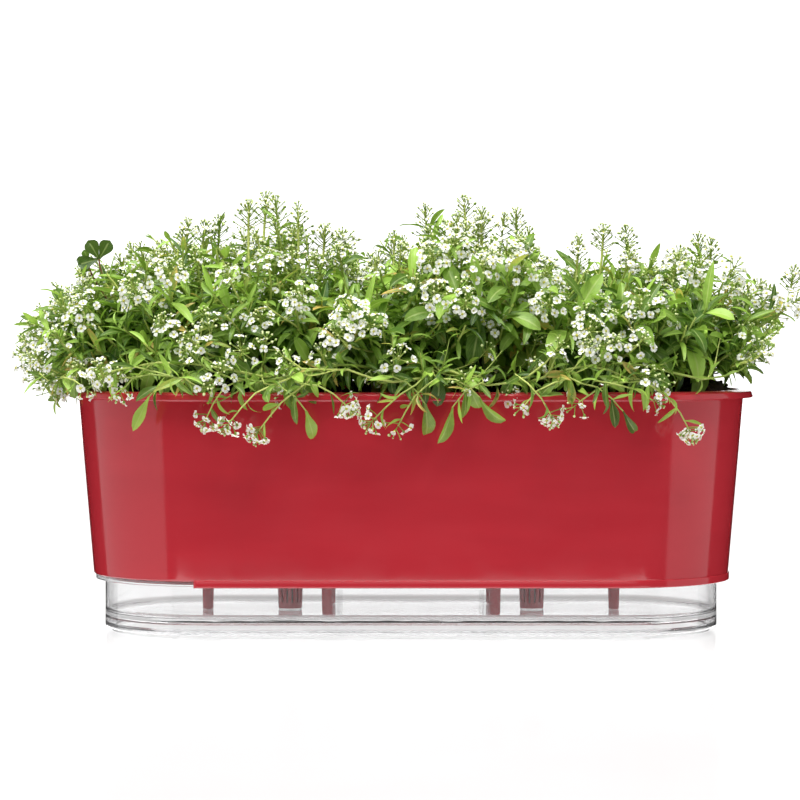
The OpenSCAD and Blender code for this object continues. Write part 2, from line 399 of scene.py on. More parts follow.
def simple_paint(name, low, high, scale, by_length=False):
    """A mottled two-colour paint, or one that runs from low to high along its length."""
    p = Paint(name, Roughness=0.6, IOR=1.4)
    grain = p.noise(scale, 4.0)
    if by_length:
        fade = p.math("ADD", p.attribute("look")[0], p.math("MULTIPLY", grain, 0.3))
        colour = p.mix(p.band(fade, 0.35, 1.0), low, high)
    else:
        colour = p.mix(p.band(grain, 0.35, 0.65), low, high)
    p.colour(colour)
    p.bump(grain, 0.3, 0.0004)
    return p.material


RED = red_plastic()
CLEAR = clear_plastic()
FLEECE = fleece()
COMPOST = compost("bark_compost", (46, 34, 28))
ROOTS = compost("root_ball", (60, 45, 35))
LEAF = leaf_paint("alyssum_leaf", rgb(34, 76, 14), rgb(172, 210, 90), rgb(220, 186, 104))
CLOVER = leaf_paint("clover_leaf", rgb(30, 58, 12), rgb(64, 98, 28), rgb(120, 130, 60), veins=0.3)
STEM = stem_paint()
PETAL = petal_paint()
HEART = simple_paint("flower_heart", rgb(150, 160, 40), rgb(214, 204, 90), 3000.0)
CALYX = simple_paint("flower_calyx", rgb(96, 130, 44), rgb(150, 176, 84), 900.0)
BUD = simple_paint("flower_bud", rgb(122, 158, 58), rgb(216, 224, 164), 900.0, by_length=True)
POD = simple_paint("seed_pod", rgb(96, 128, 44), rgb(150, 174, 80), 900.0)
RED_STEM = simple_paint("clover_stem", rgb(110, 60, 52), rgb(130, 120, 60), 200.0)

# ---- pot ----

WALL = 2.0 * MM
WALL_BOTTOM_R = 74.0 * MM
WALL_TOP_R = 83.0 * MM
FLOOR_Z = 36.0 * MM
FLOOR_T = 2.2 * MM
SKIRT_Z = 32.1 * MM
SKIRT_PROUD = 0.7 * MM
SKIRT_STEPS = 40
NOTCH_X = 130.0 * MM
RIM_LOW = RIM_Z - 5.0 * MM
GUIDE_R = 64.2 * MM
COLLAR_R = 72.7 * MM
FILLET = 1.5 * MM
BEAD = 0.8 * MM


def pot_shell():
    """Wall, rolled rim and floor, as one closed sweep with its two floor faces filled in."""
    inner, floor_r = WALL_TOP_R - WALL, WALL_BOTTOM_R - WALL - FILLET
    wall = [(WALL_BOTTOM_R + (WALL_TOP_R - WALL_BOTTOM_R) * t, FLOOR_Z + (RIM_LOW - FLOOR_Z) * t)
            for t in (0.985, 0.96, 0.75, 0.5, 0.25, 0.04, 0.012)]
    profile = (
        [(floor_r, FLOOR_Z + FLOOR_T)]
        + arc(floor_r, FLOOR_Z + FLOOR_T + FILLET, FILLET, -90, 0, 4)
        + [(inner - 0.4 * MM, RIM_Z - 6 * MM)]
        + arc(inner + BEAD, RIM_Z - BEAD, BEAD, 180, 90, 5)
        + [(WALL_TOP_R + 1.0 * MM, RIM_Z - 0.25 * MM)]
        + arc(RIM_R - 1.9 * MM, RIM_Z - 2.1 * MM, 1.1 * MM, 75, 10, 5)
        + arc(RIM_R - BEAD, RIM_LOW + BEAD, BEAD, 5, -90, 6)
        + [(RIM_R - 2.2 * MM, RIM_LOW), (WALL_TOP_R + 0.7 * MM, RIM_LOW - 0.05 * MM)]
        + arc(WALL_TOP_R + 0.55 * MM, RIM_LOW - 0.7 * MM, 0.6 * MM, 100, 170, 4)
        + wall
        + arc(WALL_BOTTOM_R - 0.74 * MM, FLOOR_Z + BEAD, BEAD, 0, -90, 4)
    )
    points = sweep(profile)
    made = single("planter_pot_shell", points, RED)
    cap(made, points.shape[2], last=True)
    return made


def cap(piece, cols, last=False):
    """Closes the first ring of a swept piece with a flat face, and its last ring too where asked."""
    bm = bmesh.new()
    bm.from_mesh(piece.data)
    corners = list(bm.verts)
    bm.faces.new(corners[:cols][::-1])
    if last:
        bm.faces.new(corners[-cols:])
        bmesh.ops.recalc_face_normals(bm, faces=bm.faces)
    bm.to_mesh(piece.data)
    bm.free()


def skirt_run(r):
    """Points round the outline at distance r, from the notch's front edge to its back edge."""
    past = math.acos(-(NOTCH_X - HALF_STRAIGHT) / WALL_BOTTOM_R)
    front = np.linspace(-past, -np.pi / 2, 4, endpoint=False)
    side = np.linspace(-HALF_STRAIGHT, HALF_STRAIGHT, SKIRT_STEPS, endpoint=False)
    turn = np.linspace(-np.pi / 2, np.pi / 2, 2 * SKIRT_STEPS, endpoint=False)
    start = np.column_stack([-HALF_STRAIGHT + r * np.cos(front), r * np.sin(front)])
    run = np.column_stack([side, np.full(SKIRT_STEPS, -r)])
    end = np.column_stack([HALF_STRAIGHT + r * np.cos(turn), r * np.sin(turn)])
    corner = [[-HALF_STRAIGHT, r]]
    return np.concatenate([start, run, end, run * (-1, -1), corner, start[::-1] * (1, -1)])


def pot_skirt():
    """The bead round the pot's lower edge, open at the pouring notch."""
    outer, inner = WALL_BOTTOM_R + SKIRT_PROUD, COLLAR_R + 0.6 * MM
    profile = (
        arc(outer - 0.6 * MM, SKIRT_Z + 0.6 * MM, 0.6 * MM, -90, 0, 5)
        + arc(outer - 0.5 * MM, FLOOR_Z + 0.2 * MM, 0.5 * MM, 0, 70, 4)
        + [(WALL_BOTTOM_R - 0.5 * MM, FLOOR_Z + 1.0 * MM), (inner, FLOOR_Z), (inner, SKIRT_Z + 0.3 * MM)]
    )
    made = single("planter_pot_skirt", np.swapaxes(sweep(profile, skirt_run), 1, 2), RED)
    cap(made, len(profile), last=True)
    return made


def lathe(centre, profile, sides):
    """A turned sheet of (1, rows, sides, 3) about an upright axis through centre."""
    angle = np.arange(sides) * 2 * np.pi / sides
    r, z = np.array(profile).T
    return polar(r[:, None], angle, z[:, None])[None] + (*centre, 0.0)


LEG_R = 3.3 * MM
LEG_SPOTS = [(x, 0.0) for x in (-0.126, 0.126)] + [
    (x, y) for x in (-0.051, 0.051) for y in (-0.035, 0.035)]
LUG_TURN = math.radians(39)
LUG_R = COLLAR_R - 3.5 * MM


def pot_legs():
    """Six moulded legs with rounded feet, the two lugs in the notch, and the ring under the floor."""
    foot = pot_low.z
    profile = ([(0.0, foot)] + arc(LEG_R - 0.6 * MM, foot + 0.6 * MM, 0.6 * MM, -90, 0, 4)
               + [(LEG_R + 0.45 * MM, FLOOR_Z - 1.2 * MM), (LEG_R + 1.6 * MM, FLOOR_Z + 0.2 * MM),
                  (0.0, FLOOR_Z + 0.5 * MM)])
    batch = Batch()
    for spot in LEG_SPOTS:
        batch.sheets(lathe(spot, profile, 32))
    lug_z = FLOOR_Z - 1.2 * MM
    lug = ([(0.0, lug_z)] + arc(1.0 * MM, lug_z + 0.4 * MM, 0.4 * MM, -90, 0, 4)
           + [(1.6 * MM, FLOOR_Z + 0.4 * MM), (0.0, FLOOR_Z + 0.5 * MM)])
    for side in (-1, 1):
        for swing in (-0.036, 0.0, 0.036):
            turn = math.pi + side * LUG_TURN + swing
            spot = (-HALF_STRAIGHT + LUG_R * math.cos(turn), LUG_R * math.sin(turn))
            batch.sheets(lathe(spot, lug, 24))
    guide_z = FLOOR_Z - 2.6 * MM
    guide = ([(GUIDE_R - 1.8 * MM, FLOOR_Z + 0.5 * MM), (GUIDE_R - 1.8 * MM, guide_z + 0.3 * MM)]
             + arc(GUIDE_R - 0.5 * MM, guide_z + 0.5 * MM, 0.5 * MM, -90, 0, 4)
             + [(GUIDE_R, FLOOR_Z + 0.5 * MM)])
    batch.sheets(sweep(guide))
    return batch.build("planter_pot_legs", [RED])


for part in (pot_shell(), pot_skirt(), pot_legs()):
    place(part, "planter_pot")

for node, paint in (("reservoir_tray", CLEAR), ("wick_cup_left", RED), ("wick_cup_right", RED)):
    for material_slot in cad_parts[node].material_slots:
        material_slot.material = paint

# ---- growing medium, root balls and wicks ----

LUMPS = 6
MEDIUM_CRUMBS = 1500
PLUG_CRUMBS = 420
ROOTLETS = 90
# How far a root ball's top falls from its middle to its edge, and how much narrower its foot is
DROOP = 8 * MM
TAPER = 5 * MM
# Bumps per metre in a rough surface: lumps and grains
LUMPY = 90.0
GRAINY = 320.0


def rough(points, scale, depth, seed):
    """Displacement of every point by layered noise, along all three axes."""
    flat = points.reshape(-1, 3)
    offset = Vector((seed * 3.1, seed * 7.7, seed * 1.3))
    moved = [noise.fractal(Vector(p) * scale + offset, 0.6, 2.1, 4) for p in flat]
    height = np.array(moved).reshape(points.shape[:-1])
    other = np.array([noise.noise(Vector(p) * scale * 1.7 - offset) for p in flat]).reshape(height.shape)
    return np.stack([other * 0.4, height * 0.4, height], -1) * depth


def crumbs(batch, rng, spots, sizes):
    """Small broken lumps scattered on a surface."""
    angle = np.linspace(0, 2 * np.pi, 6, endpoint=False)
    lumps = []
    for _ in range(LUMPS):
        radius = np.array([0.25, 0.85, 0.9, 0.3])[:, None] * rng.uniform(0.65, 1.1, (4, 6))
        height = np.array([-0.8, -0.35, 0.4, 0.85])[:, None] * rng.uniform(0.7, 1, (4, 6))
        lumps.append(Shape().grid(polar(radius, angle, height), np.zeros((4, 6, 2)), wrap=True))
    for k, lump in enumerate(lumps):
        mine = spots[k::LUMPS]
        axes = random_axes(rng, len(mine)) * sizes[k::LUMPS][:, None, None]
        axes[:, 2] *= rng.uniform(0.35, 0.8, (len(mine), 1))
        batch.copies(lump, mine, axes, rng.random((3, len(mine))).T)


def random_axes(rng, count):
    """Random right-handed sets of three unit axes."""
    first = unit(rng.normal(size=(count, 3)))
    second = unit(np.cross(first, rng.normal(size=(count, 3))))
    return np.stack([first, second, np.cross(first, second)], 1)


def growing_medium():
    """Compost that fills the pot, with a crumbly top and scattered bark."""
    rng = np.random.default_rng(11)
    low, high = medium_low.z, medium_high.z
    bottom_r, top_r = WALL_BOTTOM_R - WALL, medium_high.y - 0.3 * MM
    rim = [(bottom_r * 0.97, low), (bottom_r, low + 2 * MM), (top_r, high - 3 * MM)]
    top = [(top_r * t, high - 1.5 * MM) for t in np.linspace(0.985, 0.0, 30)]
    points = sweep(rim + top)
    moved = rough(points, LUMPY, 4.0 * MM, 5) + rough(points, GRAINY, 1.6 * MM, 8)
    moved[:, :len(rim)] = 0
    moved[:, len(rim):, :, :2] *= 0.3
    batch = Batch()
    batch.sheets(points + moved, np.full((1, 3), 0.2))
    ring = oval_ring(1.0)
    x, y = ring[rng.integers(0, len(ring), MEDIUM_CRUMBS)].T
    core = np.clip(x, -HALF_STRAIGHT, HALF_STRAIGHT)
    reach = np.sqrt(rng.random(MEDIUM_CRUMBS)) * (top_r - 3 * MM)
    height = high - 1.0 * MM + rng.normal(0, 0.8 * MM, MEDIUM_CRUMBS)
    spots = np.column_stack([core + (x - core) * reach, y * reach, height])
    crumbs(batch, rng, spots, rng.uniform(0.8, 2.6, MEDIUM_CRUMBS) * MM)
    made = batch.build("growing_medium_compost", [COMPOST])
    cap(made, points.shape[2])
    return made


def root_ball(i):
    """A plug of compost held by fine roots, still in the shape of its nursery pot."""
    rng = np.random.default_rng(100 + i)
    low, high = ROOT_BOXES[i - 1]
    middle, top_r = PLANT_X[i - 1], (high.x - low.x) / 2 - 0.5 * MM
    side = [(top_r - TAPER + TAPER * t, low.z + (high.z - 10 * MM - low.z) * t)
            for t in np.linspace(0, 1, 16)]
    crown = [(top_r * t, high.z - 0.5 * MM - DROOP * t ** 3) for t in np.linspace(0.985, 0.0, 20)]
    points = lathe((middle, 0.0), [(0.0, low.z)] + side + crown, 72)
    moved = rough(points, LUMPY, 4.0 * MM, i) + rough(points, GRAINY, 2.0 * MM, 20 + i)
    moved[:, :2] = 0
    batch = Batch()
    batch.sheets(points + moved, np.full((1, 3), 0.25))
    angle, reach = rng.random((2, PLUG_CRUMBS)) * [[2 * np.pi], [1]]
    reach = np.sqrt(reach) * (top_r - 1.5 * MM)
    height = high.z - 0.4 * MM - DROOP * (reach / top_r) ** 3 + rng.normal(0, MM, PLUG_CRUMBS)
    spots = polar(reach, angle, height, middle)
    crumbs(batch, rng, spots, rng.uniform(0.7, 2.0, PLUG_CRUMBS) * MM)
    turn = rng.random((ROOTLETS, 1)) * 2 * np.pi
    height = rng.uniform(low.z + 8 * MM, high.z - 14 * MM, (ROOTLETS, 1))
    step = np.linspace(-1, 1, 9)
    turn = turn + rng.uniform(0.1, 0.5, (ROOTLETS, 1)) * step
    turn = turn + 0.12 * np.sin(step * rng.uniform(2, 5, (ROOTLETS, 1)))
    rise = np.minimum(height + rng.uniform(-9, 9, (ROOTLETS, 1)) * MM * step, high.z - 11 * MM)
    radius = top_r - TAPER * (high.z - rise) / (high.z - low.z) + 0.3 * MM
    tint = np.tile([1.0, 0.5, 0.5], (ROOTLETS, 1))
    batch.tubes(polar(radius, turn, rise, middle), np.full(rise.shape, 0.22 * MM), tint, 4, slot=1)
    return batch.build(f"root_ball_{i}_plug", [ROOTS, FLEECE])


def wick(side):
    """A rolled strip of fleece, creased along its length."""
    low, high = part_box(f"wick_{side}")
    middle, radius = (low.x + high.x) / 2, (high.x - low.x) / 2 - 0.4 * MM
    profile = [(0.0, low.z)] + [(radius * (0.92 + 0.08 * t), low.z + (high.z - low.z) * t)
                                for t in np.linspace(0, 1, 24)] + [(0.0, high.z)]
    points = lathe((middle, 0.0), profile, 72)
    z = points[..., 2]
    turn = np.arctan2(points[..., 1], points[..., 0] - middle)
    crease = 0.35 * MM * np.cos(turn * 9 + z * 160) * (z < high.z - 1 * MM)
    return single(f"wick_{side}_fleece", points - polar(crease, turn, 0.0), FLEECE)


place(growing_medium(), "growing_medium")
for i in PLANTS:
    place(root_ball(i), f"root_ball_{i}")
for side in ("left", "right"):
    place(wick(side), f"wick_{side}")

# ---- leaves, flowers and stems ----


def leaf_shape(width, bend, fold, twist=0.0, stalk=0.14, peak=0.62, tip=3.6, wave=0.06, notch=0.0):
    """A leaf of unit length along y: it bends down along its length and folds up along its rib."""
    rows, cols = 9, 5
    t, v = np.linspace(0, 1, rows)[:, None], np.linspace(-1, 1, cols)[None]
    swell = np.clip(t / peak, 0, 1)
    half = width * (stalk + (1 - stalk) * swell ** 2 * (3 - 2 * swell)) * (1 - t ** tip) ** 0.7
    out, drop = np.sin(bend * t) / bend, (1 - np.cos(bend * t)) / bend
    side = v * half * math.cos(fold)
    lift = np.abs(v) ** 1.4 * half * math.sin(fold) + wave * half * np.sin(11 * t + 2 * v)
    across = side * np.cos(twist * t) - lift * np.sin(twist * t)
    height = side * np.sin(twist * t) + lift * np.cos(twist * t)
    along = out - notch * (1 - np.abs(v)) * t ** 8
    points = np.stack([across, along + height * np.sin(bend * t), height * np.cos(bend * t) - drop], -1)
    look = np.stack([np.broadcast_to(t, (rows, cols)), np.broadcast_to((v + 1) / 2, (rows, cols))], -1)
    return Shape().grid(points, look)


def bead(radii, heights, flat=1.0):
    """Rows of six points round z: a small closed bead."""
    rows = polar(np.array(radii)[:, None], np.arange(6) * np.pi / 3, np.array(heights)[:, None])
    return rows * (1, flat, 1)


def flower_shape(open_by, rng):
    """Four broad cupped petals about z, with a heart and a calyx; the flower's radius is 1."""
    shape = Shape()
    t = np.array([0.14, 0.36, 0.60, 0.84, 1.0])[:, None]
    half = np.array([0.10, 0.28, 0.47, 0.49, 0.31])[:, None]
    v = np.array([-1, -0.5, 0, 0.5, 1])[None]
    for k in range(4):
        turn = k * math.pi / 2 + rng.normal(0, 0.08)
        lean = open_by + rng.normal(0, 0.12)
        size = rng.uniform(0.9, 1.06)
        rise = 0.10 + t * math.sin(lean) - 0.26 * t ** 3 * math.cos(lean) + 0.07 * v * t * rng.normal()
        reach = t * math.cos(lean) * size - 0.07 * np.abs(v) ** 2 * t
        cup = 0.30 * np.abs(v) ** 2 * half
        x = reach * math.cos(turn) - v * half * size * math.sin(turn)
        y = reach * math.sin(turn) + v * half * size * math.cos(turn)
        look = np.stack([np.broadcast_to(t, x.shape), np.broadcast_to((v + 1) / 2, x.shape)], -1)
        shape.grid(np.stack([x, y, rise + cup], -1), look)
    heart = bead((0.31, 0.30, 0.16, 0.02), (0.06, 0.20, 0.33, 0.38))
    calyx = bead((0.03, 0.18, 0.27, 0.22), (-0.44, -0.30, -0.05, 0.12))
    for slot, points in ((1, heart), (2, calyx)):
        shape.grid(points, np.zeros((4, 6, 2)), True, slot)
    return shape


def seed_shape(radii, heights, slot, flat=1.0):
    """A bud or a pod, which looks up how far along it is."""
    points = bead(radii, heights, flat)
    return Shape().grid(points, points[..., 2:] * (1, 0), wrap=True, slot=slot)


shape_rng = np.random.default_rng(3)
NARROW = [leaf_shape(0.125, bend, fold, twist, stalk=0.30, peak=0.45, tip=2.6)
          for bend in (0.3, 0.8, 1.4) for fold, twist in ((0.7, 0.3), (0.4, -0.5), (0.15, 0.1))]
BROAD = [leaf_shape(width, bend, fold, twist)
         for width, bend in ((0.19, 0.45), (0.22, 0.9), (0.18, 1.4))
         for fold, twist in ((0.55, 0.25), (0.3, -0.4), (0.1, 0.6))]
FLOWERS = [flower_shape(lean, shape_rng) for lean in (0.12, 0.25, 0.38, 0.20, 0.55, 0.85)]
FLOWER_SHARES = (0.25, 0.25, 0.22, 0.14, 0.09, 0.05)
BUD_SHAPE = seed_shape((0.10, 0.42, 0.50, 0.38, 0.05), (0.0, 0.25, 0.6, 0.9, 1.05), 3)
POD_SHAPE = seed_shape((0.08, 0.45, 0.52, 0.3, 0.05), (0.0, 0.3, 0.6, 0.9, 1.1), 4, flat=0.6)
BUD_SIZE = np.array([1.25, 1.25, 1.5]) * MM
POD_SIZE = np.array([1.7, 1.7, 2.1]) * MM
GOLDEN = math.pi * (3 - math.sqrt(5))
UP = np.array([0.0, 0.0, 1.0])
LEVEL = np.array([1.0, 1.0, 0.0])
STEM_ROWS = 12
# A full turn, near enough for a random angle
TURN = 6.28


def frame_about(direction, up):
    """Axes with y along direction and z as near to up as it can be, for (n, 3) arrays."""
    y = unit(direction)
    x = unit(np.cross(y, up))
    return np.stack([x, y, np.cross(x, y)], 1)


def curve(start, lead_out, lead_in, end):
    """Points of a cubic Bezier curve."""
    t = np.linspace(0, 1, STEM_ROWS)[:, None]
    return ((1 - t) ** 3 * start + 3 * (1 - t) ** 2 * t * lead_out
            + 3 * (1 - t) * t ** 2 * lead_in + t ** 3 * end)


def path_through(stops):
    """A smooth path of evenly spaced points through a few stops."""
    p = np.array([2 * stops[0] - stops[1], *stops, 2 * stops[-1] - stops[-2]])
    t = np.linspace(0, 1, 8, endpoint=False)[:, None]
    parts = [0.5 * (2 * b + (c - a) * t + (2 * a - 5 * b + 4 * c - d) * t ** 2
                    + (3 * b - a - 3 * c + d) * t ** 3)
             for a, b, c, d in zip(p, p[1:], p[2:], p[3:])]
    return resample(np.vstack([*parts, stops[-1]]))


def resample(points):
    """The same path with evenly spaced points."""
    run = np.concatenate([[0], np.cumsum(np.linalg.norm(np.diff(points, axis=0), axis=1))])
    at = np.linspace(0, run[-1], STEM_ROWS)
    return np.column_stack([np.interp(at, run, points[:, k]) for k in range(3)])


def around(axis, angle, phase):
    """A direction that leans from axis by angle, turned about it by phase."""
    spare = np.array([0.3, 0.2, 0.9]) if abs(axis[2]) < 0.85 else np.array([0.9, 0.3, 0.1])
    side = unit(np.cross(axis, spare))
    ring = side * math.cos(phase) + np.cross(axis, side) * math.sin(phase)
    return axis * math.cos(angle) + ring * math.sin(angle)


class Plant:
    """Collects one plant's stems, leaves and flowers, all drawn from its own random numbers."""

    def __init__(self, seed, i):
        self.rng = np.random.default_rng(seed)
        self.stems, self.leaves, self.flowers = Batch(), Batch(), Batch()
        self.leaf_list, self.flower_list, self.bud_list = [], [], []
        self.pod_list, self.pedicels, self.paths = [], [], []
        angle = self.rng.random() * TURN + np.arange(6) * TURN / 6
        reach = self.rng.uniform(8, 27, 6) * MM
        self.middle = np.array([PLANT_X[i - 1], 0.0, ROOT_TOP - 3 * MM])
        self.crowns = self.middle + polar(reach, angle, 0.0)

    def crown(self, toward):
        """A point to grow from, on the side of the plant that the stem grows towards."""
        gap = np.linalg.norm((self.crowns - toward) * LEVEL, axis=1)
        pick = self.rng.choice(np.argsort(gap)[:3])
        return self.crowns[pick] + self.rng.normal(0, 2.5 * MM, 3) * LEVEL

    def leaf(self, spot, direction, up, length, broad):
        """Adds a leaf, unless it would reach below the foliage's lower edge."""
        tip = spot + unit(direction) * length
        if tip[2] > height_at(LOW_EDGE, tip[0]):
            self.leaf_list.append((spot, direction, up, length, broad))

    def leafy(self, points, first, last, spacing, long, short, broad_until):
        """Leaves set in a spiral along a stem, shorter and narrower towards its tip."""
        rng = self.rng
        ways = unit(np.gradient(points, axis=0))
        run = np.linalg.norm(np.diff(points, axis=0), axis=1).sum() * (last - first)
        count = max(2, int(run / spacing))
        phase = rng.random() * TURN
        for k in range(count):
            s = first + (last - first) * (k + rng.uniform(0.1, 0.9)) / count
            at = s * (len(points) - 1)
            j = min(int(at), len(points) - 2)
            spot = points[j] * (1 - at + j) + points[j + 1] * (at - j)
            out = around(ways[j], rng.uniform(0.6, 1.2), phase + k * GOLDEN)
            out = unit(out + UP * rng.uniform(-0.2, 0.3))
            size = (long + (short - long) * s) * rng.uniform(0.7, 1.25)
            self.leaf(spot, out, ways[j] * 0.8 + UP, size, s < broad_until + rng.normal(0, 0.15))

    def raceme(self, tip, axis, height, spread, open_count, bud_count, pods=0, lean_low=1.35, bloom=1.0):
        """A flower head: pods low on its axis, a ring of open flowers, and buds at its top."""
        rng = self.rng
        base = tip - axis * height
        total = pods + open_count + bud_count
        phase = rng.random() * TURN
        for k in range(total):
            q = k / max(total - 1, 1)
            start = base + axis * height * (q ** 0.8)
            lean = lean_low - (lean_low - 0.4) * q ** 1.3 + rng.normal(0, 0.12)
            reach = spread * (1.0 - 0.58 * q ** 1.6) * rng.uniform(0.78, 1.15)
            out = around(axis, lean, phase + k * GOLDEN)
            end = start + out * reach
            self.pedicels.append((start, (start + end) / 2 + (out - axis * 0.8) * reach * 0.06, end))
            face = unit(out * 0.7 + axis * 0.5 + UP * 0.2 + rng.normal(0, 0.2, 3))
            if k < pods:
                self.pod_list.append((end, out, rng.uniform(0.8, 1.15)))
            elif k < pods + open_count:
                self.flower_list.append((end, face, rng.uniform(2.5, 3.15) * MM * bloom))
            else:
                self.bud_list.append((end, out, rng.uniform(0.8, 1.25) * (1.45 - 0.55 * q)))

    def dress(self, points, tip, axis, thick, thin, head, *leaves):
        """A stem with its leaves and, where it has one, its flower head."""
        self.paths.append((resample(np.vstack([points, tip[None]])) if head else points, thick, thin))
        self.leafy(points, *leaves)
        if head:
            self.raceme(tip, axis, **head)

    def shoot(self, tip, end_axis, thick, head, twigs, long=26 * MM, short=11 * MM, spacing=6 * MM,
              broad_until=0.4):
        """A stem from the plant's crown to tip, with its leaves and perhaps a flower head."""
        rng = self.rng
        base = self.crown(tip)
        reach = np.linalg.norm(tip - base)
        flat = unit((tip - base) * LEVEL + 1e-6)
        climb = unit(tip - base)[2]
        first = unit(flat * (1.25 - climb) + UP * (0.25 + climb) + rng.normal(0, 0.16, 3))
        neck = tip - end_axis * (head["height"] if head else 0.0)
        points = curve(base, base + first * reach * 0.5, neck - end_axis * reach * 0.3, neck)
        sway = np.sin(np.linspace(0, np.pi * rng.uniform(1, 2.5), len(points)))[:, None]
        share = np.linspace(0, 1, len(points))[:, None]
        points = points + sway * rng.normal(0, 1.3 * MM, 3) * share
        points = points + (neck - points[-1]) * share
        self.dress(points, tip, end_axis, thick, thick * 0.6, head,
                   0.10, 0.92 if head else 1.0, spacing, long, short, broad_until)
        for _ in range(twigs):
            self.twig(points, rng.uniform(0.3, 0.88), thick * 0.6)

    def twig(self, points, s, thick):
        """A short side stem with small leaves, and most often a small head of its own."""
        rng = self.rng
        j = int(s * (len(points) - 1))
        way = unit(points[min(j + 1, len(points) - 1)] - points[max(j - 1, 0)])
        out = unit(around(way, rng.uniform(0.5, 1.0), rng.random() * TURN) + UP * 0.3)
        length = rng.uniform(16, 34) * MM
        tip = hold_inside(points[j] + out * length)
        axis = unit(out + UP * rng.uniform(0.2, 0.9))
        head = None
        if rng.random() < 0.6:
            head = dict(height=rng.uniform(4, 9) * MM, spread=rng.uniform(4.5, 7.5) * MM,
                        open_count=int(rng.integers(1, 7)), bud_count=int(rng.integers(6, 12)))
        neck = tip - axis * (head["height"] if head else 0.0)
        path = curve(points[j], points[j] + way * length * 0.3, neck - axis * length * 0.25, neck)
        self.dress(path, tip, axis, thick, thick * 0.5, head, 0.15, 1.0, 4.5 * MM, 15 * MM, 8 * MM, 0.1)

    def rosette(self, count):
        """Broad old leaves that spread and arch from the plant's crowns."""
        rng = self.rng
        for k in range(count):
            crown = self.crowns[k % len(self.crowns)]
            turn = rng.random() * TURN
            out = np.array([math.cos(turn), math.sin(turn), rng.uniform(0.15, 1.3)])
            spot = crown + unit(out) * rng.uniform(2, 12) * MM + UP * rng.uniform(0, 8) * MM
            self.leaf(spot, unit(out), UP + rng.normal(0, 0.3, 3), rng.uniform(22, 38) * MM, True)

    def finish(self, name, node):
        """Makes the plant's three meshes, which together stand for one CAD node."""
        self.make_stems()
        self.make_leaves()
        self.make_flowers()
        place(self.stems.build(f"{name}_stems", [STEM]), node)
        place(self.leaves.build(f"{name}_leaves", [LEAF]), node)
        flowers = self.flowers.build(f"{name}_flowers", [PETAL, HEART, CALYX, BUD, POD])
        place(flowers, node)

    def make_stems(self):
        """Tubes for the stems and for the thin stalks of the flowers."""
        rng = self.rng
        paths = np.array([p for p, _, _ in self.paths])
        ends = np.array([(a, b) for _, a, b in self.paths])
        share = np.linspace(0, 1, paths.shape[1])
        radii = ends[:, :1] * (1 - share) + ends[:, 1:] * share
        self.stems.tubes(paths, radii, rng.uniform(0.3, 1.0, (len(paths), 3)), 6)
        starts, mids, tips = (np.array(x)[:, None] for x in zip(*self.pedicels))
        t = np.linspace(0, 1, 4)[None, :, None]
        bends = (1 - t) ** 2 * starts + 2 * (1 - t) * t * mids + t ** 2 * tips
        radii = np.tile(np.array([0.33, 0.27, 0.25, 0.30]) * MM, (len(starts), 1))
        self.stems.tubes(bends, radii, rng.uniform(0.0, 0.6, (len(starts), 3)), 4)

    def make_leaves(self):
        """A copy of a narrow or broad leaf shape for every leaf."""
        rng = self.rng
        spots, ways, ups, lengths, broad = (np.array(x) for x in zip(*self.leaf_list))
        n = len(spots)
        axes = frame_about(ways, ups + rng.normal(0, 0.35, ups.shape)) * lengths[:, None, None]
        axes[:, 0] *= rng.uniform(0.8, 1.25, (n, 1))
        tint = rng.random((n, 3))
        for shapes, chosen in ((NARROW, ~broad), (BROAD, broad)):
            kinds = rng.integers(0, len(shapes), n)
            for k, shape in enumerate(shapes):
                mine = chosen & (kinds == k)
                self.leaves.copies(shape, spots[mine], axes[mine], tint[mine])

    def make_flowers(self):
        """A copy of a flower, bud or pod shape for every one of them."""
        rng = self.rng
        spots, faces, radii = (np.array(x) for x in zip(*self.flower_list))
        kinds = rng.choice(len(FLOWERS), len(spots), p=FLOWER_SHARES)
        axes = frame_about(np.cross(faces, rng.normal(size=faces.shape)), faces) * radii[:, None, None]
        for k, shape in enumerate(FLOWERS):
            mine = kinds == k
            self.flowers.copies(shape, spots[mine], axes[mine], rng.random((int(mine.sum()), 3)))
        for found, shape, size in ((self.bud_list, BUD_SHAPE, BUD_SIZE),
                                   (self.pod_list, POD_SHAPE, POD_SIZE)):
            if found:
                spots, ways, sizes = (np.array(x) for x in zip(*found))
                turned = frame_about(np.cross(ways, rng.normal(size=ways.shape)), ways)
                axes = turned * sizes[:, None, None] * size[None, :, None]
                self.flowers.copies(shape, spots, axes, rng.random((len(spots), 3)))


# ---- planting plan ----

# Height of the flowers along the planter, in millimetres: (place along X, height)
SKYLINE = np.array([
    (-250, 160), (-238, 194), (-225, 211), (-205, 227), (-180, 242), (-160, 245), (-120, 253),
    (-90, 265), (-55, 247), (-15, 244), (10, 259), (35, 265), (72, 254), (82, 236), (92, 226),
    (130, 247), (155, 235), (185, 242), (215, 217), (252, 211)]) * MM
# The height that the foliage stays above: it lifts clear of the rim at the right end
LOW_EDGE = np.array([(178, 100), (184, 158), (216, 166), (241, 192)]) * MM
MOUND_X = 244 * MM
MOUND_Y = 97 * MM
MOUND_BASE = RIM_Z + 10 * MM
# Below 1, the mound's top is flatter and its sides are steeper
ROUNDNESS = 0.75
END_X = 128 * MM
# Beyond this place the planting is thinner, and mostly leaves
SPARSE_X = 165 * MM


def mound_depth(x):
    """How far the flowers reach to the front and to the back at this place along the planter."""
    past = max(abs(x) - END_X, 0.0) / (MOUND_X + 5 * MM - END_X)
    return MOUND_Y * math.sqrt(max(1 - past ** 2, 0.0))


def height_at(table, x):
    """The height that a table of places and heights gives at x."""
    return float(np.interp(x, table[:, 0], table[:, 1]))


